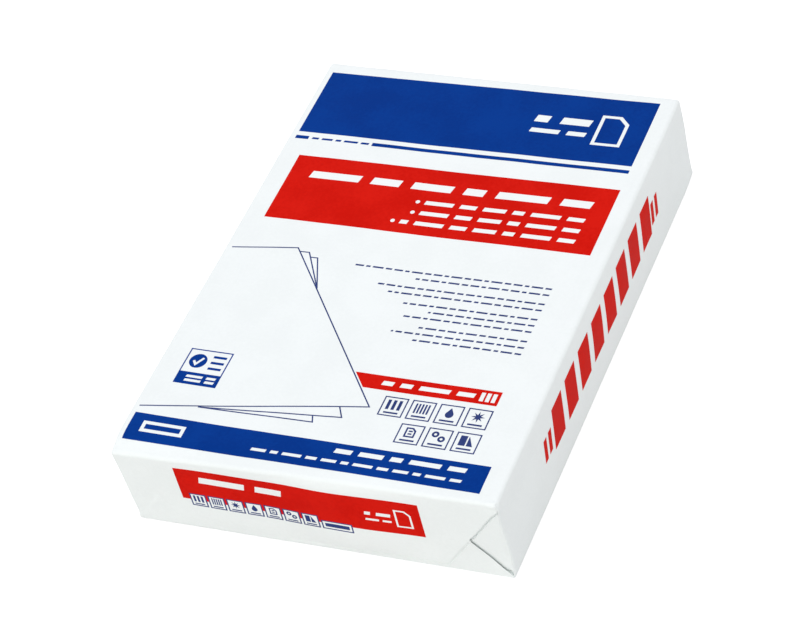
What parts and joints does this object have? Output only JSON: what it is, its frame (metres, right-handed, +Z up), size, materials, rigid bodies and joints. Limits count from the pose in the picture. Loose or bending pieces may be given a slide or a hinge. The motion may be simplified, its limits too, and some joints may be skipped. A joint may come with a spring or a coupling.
{
  "type": "ream of paper",
  "caption": "Sealed wrapped ream of A4 office paper, lying flat, with folded ends, printed colour bands and a label end.",
  "frame": {"origin": "under the middle of the pack, on the surface that it lies on", "axes": "+Z up through the stack of sheets, +Y along the sheets, away from the label end, +X across the sheets, towards the side with the row of blocks"},
  "size_m": [0.2121, 0.3029, 0.0541],
  "materials": {
    "wrapper_paper": "smooth white coated wrapping paper, low sheen",
    "blue_ink": "deep blue print on coated paper, low sheen",
    "red_ink": "bright red print on coated paper, low sheen",
    "navy_ink": "fine navy print on coated paper, low sheen"
  },
  "bodies": {
    "root": {"wrapped_ream": "wrapper_paper", "top_blue_print": "blue_ink", "top_red_print": "red_ink", "top_line_print": "navy_ink", "end_red_print": "red_ink", "end_line_print": "navy_ink", "side_red_print": "red_ink"}
  },
  "joints": []
}
